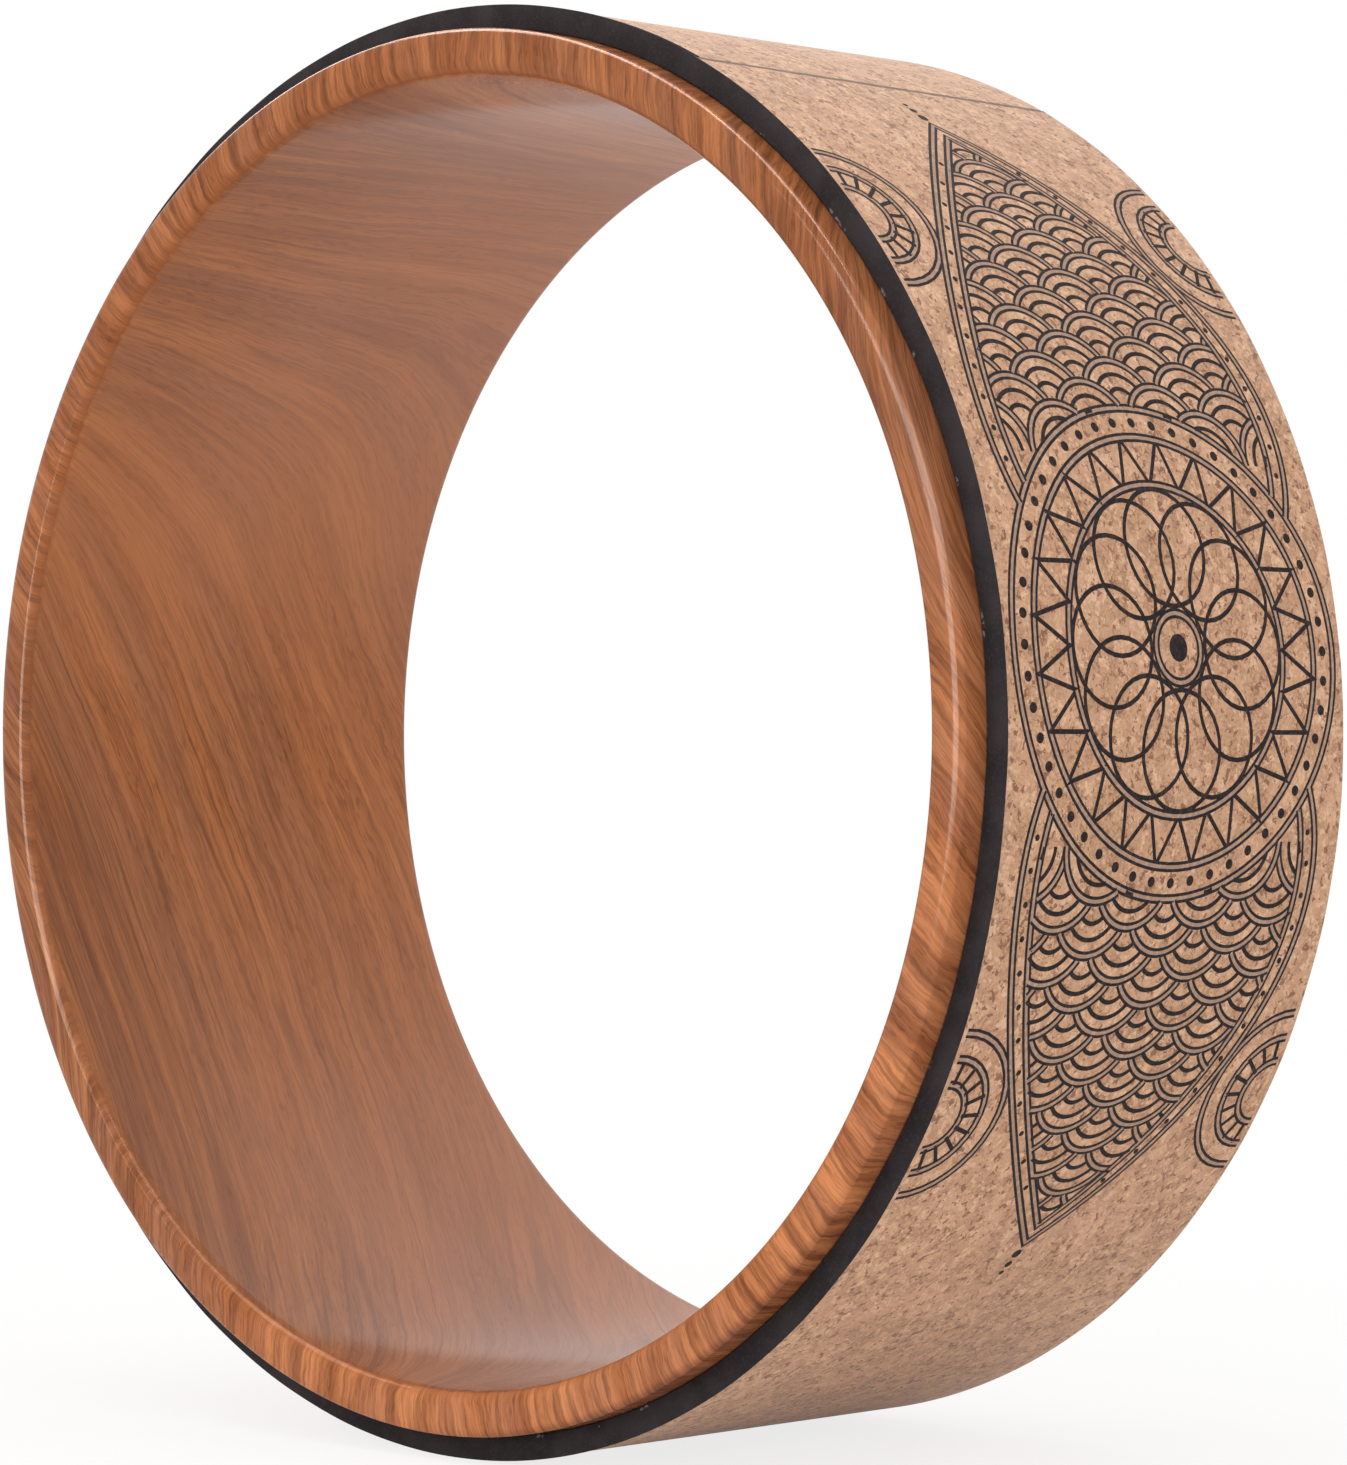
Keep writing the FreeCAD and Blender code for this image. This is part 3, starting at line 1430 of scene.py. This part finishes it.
@dataclass
class PrintedOrnament:
    """Line ornament printed on the tread: a round medallion between two wings of wave scales.

    Lengths are in millimetres, round the tread (u) and across it (v), from the medallion's centre.
    """

    tread_radius: float
    centre_deg: float = 6.2
    rings: tuple[float, ...] = (54.0, 47.0, 36.0, 7.5)
    bead_ring: float = 50.5
    bead_count: int = 48
    bead_radius: float = 1.15
    teeth: int = 24
    loops: int = 12
    loop_radius: float = 13.0
    loop_ring: float = 22.0
    centre_dot: float = 3.0
    wing_curve: tuple[tuple[float, float], ...] = ((30.0, 45.0), (62.0, 60.0), (105.0, 34.0), (141.0, 0.0))
    wing_points: int = 120
    wing_border: float = 5.0
    border_dots: tuple[int, int, int] = (12, -15, 8)
    border_dot: float = 0.7
    scale_radius: float = 12.0
    scale_shares: tuple[float, ...] = (1.0, 0.7, 0.4)
    scale_step: float = 1.2
    scales_aside: int = 4
    rows_over: int = 3
    fan_centre: tuple[float, float] = (102.0, 55.5)
    fan_radii: tuple[float, ...] = (8.0, 14.0, 20.0)
    fan_rays: int = 9
    tip_dots: tuple[tuple[float, float], ...] = ((144.5, 1.3), (148.0, 1.0), (150.8, 0.7))
    core_half: float = 0.5
    edge_offset: float = 0.76
    edge_half: float = 0.35
    solid_half: float = 0.52
    sunk: float = 0.02
    proud: float = 0.035
    lift_step: float = 0.002
    lift_levels: int = 5
    longest_step: float = 3.5
    dot_step: float = 0.6

    def circle(self, centre: Sequence[float], radius: float, kind: StrokeKind) -> Stroke:
        """A whole circle as a closed stroke."""
        points = arc_points(centre, radius, 0, FULL_TURN, self.longest_step)[:-1]
        return Stroke(points, closed=True, kind=kind)

    def medallion(self) -> list[Stroke]:
        """Rings, teeth and a rosette of overlapping loops.

        Returns:
            Their strokes.
        """
        outer_teeth, inner_teeth = self.rings[1], self.rings[2]
        strokes = [self.circle((0, 0), radius, StrokeKind.OUTLINED) for radius in self.rings]
        for loop in range(self.loops):
            angle = FULL_TURN * loop / self.loops
            centre = (self.loop_ring * math.cos(angle), self.loop_ring * math.sin(angle))
            strokes.append(self.circle(centre, self.loop_radius, StrokeKind.SOLID))
        angles = FULL_TURN / self.teeth * np.arange(0, self.teeth, 0.5)
        radii = np.tile((inner_teeth, outer_teeth), self.teeth)
        corners = radii[:, None] * np.stack((np.cos(angles), np.sin(angles)), axis=-1)
        strokes.append(Stroke(divide_long(corners, self.longest_step), closed=True, kind=StrokeKind.SOLID))
        return strokes

    def straight(self, start: np.ndarray, end: np.ndarray) -> Stroke:
        """A straight solid stroke, in steps short enough to follow the tread.

        Args:
            start: its first point.
            end: its last point.

        Returns:
            The stroke.
        """
        steps = max(2, math.ceil(np.linalg.norm(end - start) / self.longest_step))
        shares = np.linspace(0, 1, steps + 1)[:, None]
        return Stroke(start + shares * (end - start), kind=StrokeKind.SOLID)

    def wing_edge(self) -> np.ndarray:
        """A wing's curved edge.

        Returns:
            Its points, from the medallion to the tip.
        """
        first, second, third, last = np.array(self.wing_curve)
        share = np.linspace(0, 1, self.wing_points)[:, None]
        rest = 1 - share
        return rest**3 * first + 3 * rest**2 * share * second + 3 * rest * share**2 * third + share**3 * last

    def wing_height(self, u: np.ndarray) -> np.ndarray:
        """Half of a wing's width at places round the tread, zero past its tip."""
        edge = self.wing_edge()
        return np.interp(np.abs(u), edge[:, 0], edge[:, 1], right=0.0)

    def scale_rows(self) -> list[list[tuple[float, float]]]:
        """Centres of a wing's wave scales.

        Returns:
            The centres in staggered rows, from the medallion outwards.
        """
        first = self.rings[0] - self.scale_radius
        numbers = np.arange(-self.scales_aside, self.scales_aside + 1)
        rows = []
        for row in range(math.ceil((self.wing_curve[-1][0] - first) / (self.scale_radius / 2))):
            u = first + row * self.scale_radius / 2
            places = (numbers + row % 2 / 2) * 2 * self.scale_radius
            rows.append([(u, v) for v in places])
        return rows

    def wing(self) -> list[Stroke]:
        """One wing: its edges and the wave scales between them, each half hidden by those before it.

        Returns:
            Its strokes.
        """
        edge = self.wing_edge()
        inner = edge - (0, self.wing_border)
        near_tip = inner[-self.wing_points // 4:]
        tip = np.interp(0, -near_tip[:, 1], near_tip[:, 0])
        inner = np.concatenate((inner[inner[:, 1] > 0], [(tip, 0.0)]))
        strokes = []
        for line in (edge, inner):
            line = line[np.hypot(line[:, 0], line[:, 1]) > self.rings[0]]
            strokes.append(Stroke(np.concatenate((line, line[-2::-1] * (1, -1)))))
        rows = self.scale_rows()
        quarter = FULL_TURN / 4
        for row, centres in enumerate(rows):
            over = rows[max(0, row - self.rows_over):row]
            before = np.array([centre for other in over for centre in other])
            for centre in centres:
                for share in self.scale_shares:
                    kind = StrokeKind.OUTLINED if share == 1.0 else StrokeKind.SOLID
                    arc = arc_points(centre, self.scale_radius * share, -quarter, quarter, self.scale_step)
                    runs = kept_runs(arc, self.in_wing(arc, before))
                    strokes.extend(Stroke(run, kind=kind) for run in runs)
        return strokes

    def in_wing(self, points: np.ndarray, before: np.ndarray) -> np.ndarray:
        """Whether points of a scale show.

        Args:
            points: the points.
            before: centres of the scales that lie over this one.

        Returns:
            True for each point inside the wing, outside the medallion and under no other scale.
        """
        shows = np.abs(points[:, 1]) < self.wing_height(points[:, 0]) - self.wing_border
        shows &= np.hypot(points[:, 0], points[:, 1]) > self.rings[0]
        if len(before):
            gaps = np.linalg.norm(points[:, None] - before[None], axis=2)
            shows &= np.all(gaps > self.scale_radius, axis=1)
        return shows

    def corner_fan(self) -> list[Stroke]:
        """Half circles with rays at one edge of the tread, beside a wing.

        Returns:
            Their strokes.
        """
        strokes = [
            Stroke(arc_points(self.fan_centre, radius, math.pi, FULL_TURN, self.longest_step))
            for radius in self.fan_radii
        ]
        centre = np.array(self.fan_centre)
        for ray in range(self.fan_rays):
            angle = math.pi * (1 + (ray + 0.5) / self.fan_rays)
            direction = np.array((math.cos(angle), math.sin(angle)))
            start, end = (centre + direction * radius for radius in self.fan_radii[:2])
            strokes.append(self.straight(start, end))
        return strokes

    def dots(self) -> list[tuple[float, float, float]]:
        """The solid dots.

        Returns:
            Place round the tread, place across it and radius of each.
        """
        found = [(0.0, 0.0, self.centre_dot)]
        for bead in range(self.bead_count):
            angle = FULL_TURN * bead / self.bead_count
            u, v = self.bead_ring * math.cos(angle), self.bead_ring * math.sin(angle)
            found.append((u, v, self.bead_radius))
        found.extend((side * u, 0.0, radius) for side in (1, -1) for u, radius in self.tip_dots)
        middle = self.wing_edge()[slice(*self.border_dots)] - (0, self.wing_border / 2)
        found.extend((a * u, b * v, self.border_dot) for a in (1, -1) for b in (1, -1) for u, v in middle)
        return found

    def strokes(self) -> list[Stroke]:
        """Every line of the ornament, with both wings and all four fans.

        Returns:
            The strokes.
        """
        found = self.medallion()
        for stroke in self.wing():
            found.extend(Stroke(stroke.points * (side, 1), kind=stroke.kind) for side in (1, -1))
        for stroke in self.corner_fan():
            mirrored = [stroke.points * (a, b) for a in (1, -1) for b in (1, -1)]
            found.extend(Stroke(points, kind=stroke.kind) for points in mirrored)
        return found

    def on_tread(self, plan: np.ndarray, height: np.ndarray) -> np.ndarray:
        """Points of the wheel, in metres, over points of the unrolled tread."""
        angle = math.radians(self.centre_deg) + plan[..., 0] / self.tread_radius
        return round_points((self.tread_radius + height) * MM, plan[..., 1] * MM, angle)

    def ribbon(self, stroke: Stroke, offset: float, half: float, lift: float) -> np.ndarray:
        """Rings of four points for a flat ribbon along a stroke.

        Args:
            stroke: the stroke.
            offset: how far beside it the ribbon's middle lies.
            half: half of the ribbon's width.
            lift: how far its top stands above the tread.

        Returns:
            The rings' points in metres.
        """
        points = stroke.points
        normal = stroke.mitred_normals()
        left = points + normal * (offset + half)
        right = points + normal * (offset - half)
        plan = np.stack((left, left, right, right), axis=1)
        return self.on_tread(plan, np.array((-self.sunk, lift, lift, -self.sunk)))

    def build(self) -> bpy.types.Object:
        """Lays every line and dot on the tread as thin ink.

        Returns:
            The ornament.
        """
        dark = PrintInk("dark_ink", srgb(30, 25, 28), srgb(66, 50, 45))
        pale = PrintInk("pale_ink", srgb(160, 132, 116), srgb(190, 156, 132))
        ink_mesh = InkMesh()
        for number, stroke in enumerate(self.strokes()):
            lift = self.proud + number % self.lift_levels * self.lift_step
            for offset, half, ink in self.bands(stroke.kind):
                ribbon = self.ribbon(stroke, offset, half, lift - ink * self.lift_step / 2)
                ink_mesh.add(ribbon, stroke.closed, ink)
        heights = np.array((-self.sunk, self.proud))[:, None]
        for u, v, radius in self.dots():
            rim = arc_points((u, v), radius, 0, FULL_TURN, self.dot_step)[:-1]
            ink_mesh.add(self.on_tread(np.stack((rim, rim)), heights), False, 0)
        points = np.concatenate(ink_mesh.points)
        piece = make_piece("printed_ornament", points, ink_mesh.faces, [dark, pale], ink_mesh.inks)
        for polygon in piece.data.polygons:
            polygon.use_smooth = False
        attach(piece, ROOT_BODY)
        return piece

    def bands(self, kind: StrokeKind) -> list[tuple[float, float, int]]:
        """Ribbons that a stroke is printed with.

        Args:
            kind: how the stroke is printed.

        Returns:
            Offset, half width and number of the ink of each ribbon.
        """
        if kind is StrokeKind.SOLID:
            return [(0.0, self.solid_half, 0)]
        edges = [(side * self.edge_offset, self.edge_half, 0) for side in (1, -1)]
        return [(0.0, self.core_half, 1), *edges]


class LampUse(Enum):
    """Which surfaces a lamp is for."""

    ALL = "matte and gloss surfaces"
    MATTE = "matte surfaces alone"
    GLOSS = "gloss surfaces alone"


@dataclass(frozen=True)
class Softbox:
    """A studio lamp behind a rectangular diffuser. Lengths are in metres."""

    name: str
    place: tuple[float, float, float]
    width: float
    height: float
    brightness: float
    use: LampUse = LampUse.ALL

    def build(self) -> bpy.types.Object:
        """Makes the lamp, aimed at the wheel's centre.

        Returns:
            The lamp.
        """
        data = bpy.data.lights.new(self.name, "AREA")
        data.shape = "RECTANGLE"
        data.size = self.width
        data.size_y = self.height
        data.energy = self.brightness * math.pi * self.width * self.height
        lamp = bpy.data.objects.new(self.name, data)
        lamp.location = self.place
        lamp.rotation_mode = "QUATERNION"
        lamp.rotation_quaternion = (-Vector(self.place)).to_track_quat("-Z", "Y")
        if self.use is LampUse.GLOSS:
            data.color = GLINT_TINT
        lamp.visible_diffuse = self.use is not LampUse.GLOSS
        lamp.visible_glossy = self.use is not LampUse.MATTE
        bpy.context.scene.collection.objects.link(lamp)
        return lamp


@dataclass
class Studio:
    """White floor, white surroundings and soft lamps. Lengths are in metres."""

    floor_height: float
    floor_half: float = 12.0
    floor_colour: Colour = (0.97, 0.96, 0.94, 1.0)
    floor_glow: float = 0.8
    floor_mirrored: float = 0.6
    shadow_from: float = 0.1
    shadow_to: float = 0.6
    fill: float = 0.8
    softboxes: tuple[Softbox, ...] = (
        Softbox("top_softbox", (0.25, -0.35, 1.5), 1.8, 1.8, 0.85),
        Softbox("left_softbox", (-0.72, -1.97, 0.4), 0.9, 1.8, 1.8, LampUse.MATTE),
        Softbox("right_softbox", (1.0, -1.96, 0.4), 0.9, 1.8, 1.7, LampUse.MATTE),
        Softbox("left_glint", (-0.9, -1.87, 0.22), 0.46, 0.7, 26.0, LampUse.GLOSS),
        Softbox("front_glint", (-0.52, -2.1, 0.22), 0.4, 0.7, 27.0, LampUse.GLOSS),
        Softbox("high_front_glint", (0.0, -2.1, 0.53), 0.76, 0.34, 26.0, LampUse.GLOSS),
        Softbox("near_overhead_glint", (0.05, -1.0, 1.3), 0.6, 0.6, 36.0, LampUse.GLOSS),
        Softbox("overhead_glint", (-0.45, -0.74, 1.36), 0.6, 0.6, 36.0, LampUse.GLOSS),
        Softbox("far_overhead_glint", (-0.88, -0.4, 1.28), 0.6, 0.6, 30.0, LampUse.GLOSS),
        Softbox("far_left_glint", (-1.3, 0.3, 0.98), 0.6, 0.6, 8.0, LampUse.GLOSS),
        Softbox("back_glint", (-0.5, 1.44, 1.3), 2.2, 1.8, 0.3, LampUse.GLOSS),
    )

    def seen_directly(self, graph: NodeGraph, mirrored: float = 1.0) -> Wire:
        """One for rays from the camera or through a clear surface, zero for rays that light other things.

        Args:
            graph: takes the nodes.
            mirrored: the value for rays from a gloss surface.

        Returns:
            The value for each ray.
        """
        outputs = graph.node("ShaderNodeLightPath").outputs
        rays = ("Is Camera Ray", "Is Glossy Ray", "Is Transmission Ray")
        camera, glossy, clear = (Wire(graph, outputs[ray]) for ray in rays)
        return camera.larger(glossy * mirrored).larger(clear)

    def build_world(self) -> None:
        """Makes surroundings that look white and light the wheel as the fill says."""
        world = bpy.data.worlds.new("white_surroundings")
        world.use_nodes = True
        graph = NodeGraph(world.node_tree)
        lit = graph.wire("ShaderNodeBackground", 0, None, {"Strength": self.fill, "Color": WHITE})
        shown = graph.wire("ShaderNodeBackground", 0, None, {"Strength": 1.0, "Color": WHITE})
        sockets = {0: self.seen_directly(graph), 1: lit, 2: shown}
        mixed = graph.wire("ShaderNodeMixShader", 0, None, sockets)
        graph.node("ShaderNodeOutputWorld", None, {"Surface": mixed})
        bpy.context.scene.world = world

    def floor_material(self) -> bpy.types.Material:
        """White floor that keeps shadows and otherwise runs into the surroundings.

        Returns:
            The floor's material.
        """
        made = bpy.data.materials.new("white_floor")
        made.use_nodes = True
        graph = NodeGraph(made.node_tree)
        matte = graph.wire("ShaderNodeBsdfDiffuse", 0, None, {"Color": self.floor_colour})
        glow = graph.wire("ShaderNodeEmission", 0, None, {"Color": WHITE, "Strength": 1.0})
        away = Place(graph).radius_across().ramp(self.shadow_from / MM, self.shadow_to / MM)
        near_glow = self.floor_glow + away * (1 - self.floor_glow)
        share = self.seen_directly(graph, self.floor_mirrored) * near_glow
        mixed = graph.wire("ShaderNodeMixShader", 0, None, {0: share, 1: matte, 2: glow})
        graph.node("ShaderNodeOutputMaterial", None, {"Surface": mixed})
        return made

    def build(self) -> None:
        """Makes the floor, the surroundings and the lamps."""
        half = self.floor_half
        corners = [(a * half, b * half, self.floor_height) for a, b in ((-1, -1), (1, -1), (1, 1), (-1, 1))]
        mesh = bpy.data.meshes.new("floor")
        mesh.from_pydata(corners, [], [(0, 1, 2, 3)])
        mesh.materials.append(self.floor_material())
        floor = bpy.data.objects.new("floor", mesh)
        bpy.context.scene.collection.objects.link(floor)
        self.build_world()
        for softbox in self.softboxes:
            softbox.build()


@dataclass(frozen=True)
class PhotoCamera:
    """Camera at the photograph's viewing angle. Lengths are in metres."""

    azimuth_deg: float = 44.475
    elevation_deg: float = -0.1934
    distance: float = 1.16485
    aim_right: float = 9.367 * MM
    aim_up: float = 0.149 * MM
    focal_px: float = 4923.78
    image_height_px: int = 1465
    sensor_mm: float = 36.0

    def build(self) -> bpy.types.Object:
        """Makes the camera and gives it to the scene.

        Returns:
            The camera.
        """
        azimuth = math.radians(self.azimuth_deg)
        elevation = math.radians(self.elevation_deg)
        level = math.cos(elevation)
        back = Vector((math.sin(azimuth) * level, -math.cos(azimuth) * level, math.sin(elevation)))
        right = (-back).cross(Vector((0, 0, 1))).normalized()
        up = right.cross(-back)
        data = bpy.data.cameras.new("photo_camera")
        data.sensor_width = self.sensor_mm
        data.lens = self.sensor_mm * self.focal_px / self.image_height_px
        camera = bpy.data.objects.new("photo_camera", data)
        camera.location = right * self.aim_right + up * self.aim_up + back * self.distance
        camera.rotation_mode = "QUATERNION"
        camera.rotation_quaternion = (-back).to_track_quat("-Z", "Y")
        bpy.context.scene.collection.objects.link(camera)
        bpy.context.scene.camera = camera
        return camera


def dress_films() -> None:
    """Gives the two adhesive films of the frame their finish."""
    glue = GlueFilm().material()
    for node in ("pad_film", "cover_film"):
        data = frame["nodes"][node].data
        data.materials.clear()
        data.materials.append(glue)


def bore_radius() -> float:
    """Radius of the hoop's bore, in metres, from the record's mount."""
    bore = next(mount for mount in frame["record"]["mounts"] if mount["name"] == "hoop_bore")
    return bore["dims"]["r_mm"] * MM


def report(piece: bpy.types.Object) -> None:
    """Logs a piece's name and how many faces it has."""
    LOG.info("%s: %d faces", piece.name, len(piece.data.polygons))


def main() -> None:
    """Builds the wheel from the hoop outwards, then the studio and the camera."""
    logging.basicConfig(level=logging.INFO, format="%(message)s")
    tread_radius = node_radius("cork_cover")
    report(Hoop(bore_radius(), node_radius("hoop"), node_half_width("hoop")).build())
    pad = FoamPad(node_radius("pad_film"), node_radius("foam_pad"), node_half_width("foam_pad"))
    report(pad.build())
    report(CorkCover(node_radius("cover_film"), tread_radius, node_half_width("cork_cover")).build())
    report(PrintedOrnament(tread_radius / MM).build())
    dress_films()
    Studio(floor_height=-(pad.outer_radius + pad.lip_rise)).build()
    PhotoCamera().build()
    bpy.context.scene.view_settings.view_transform = "Standard"


if __name__ == "__main__":
    main()
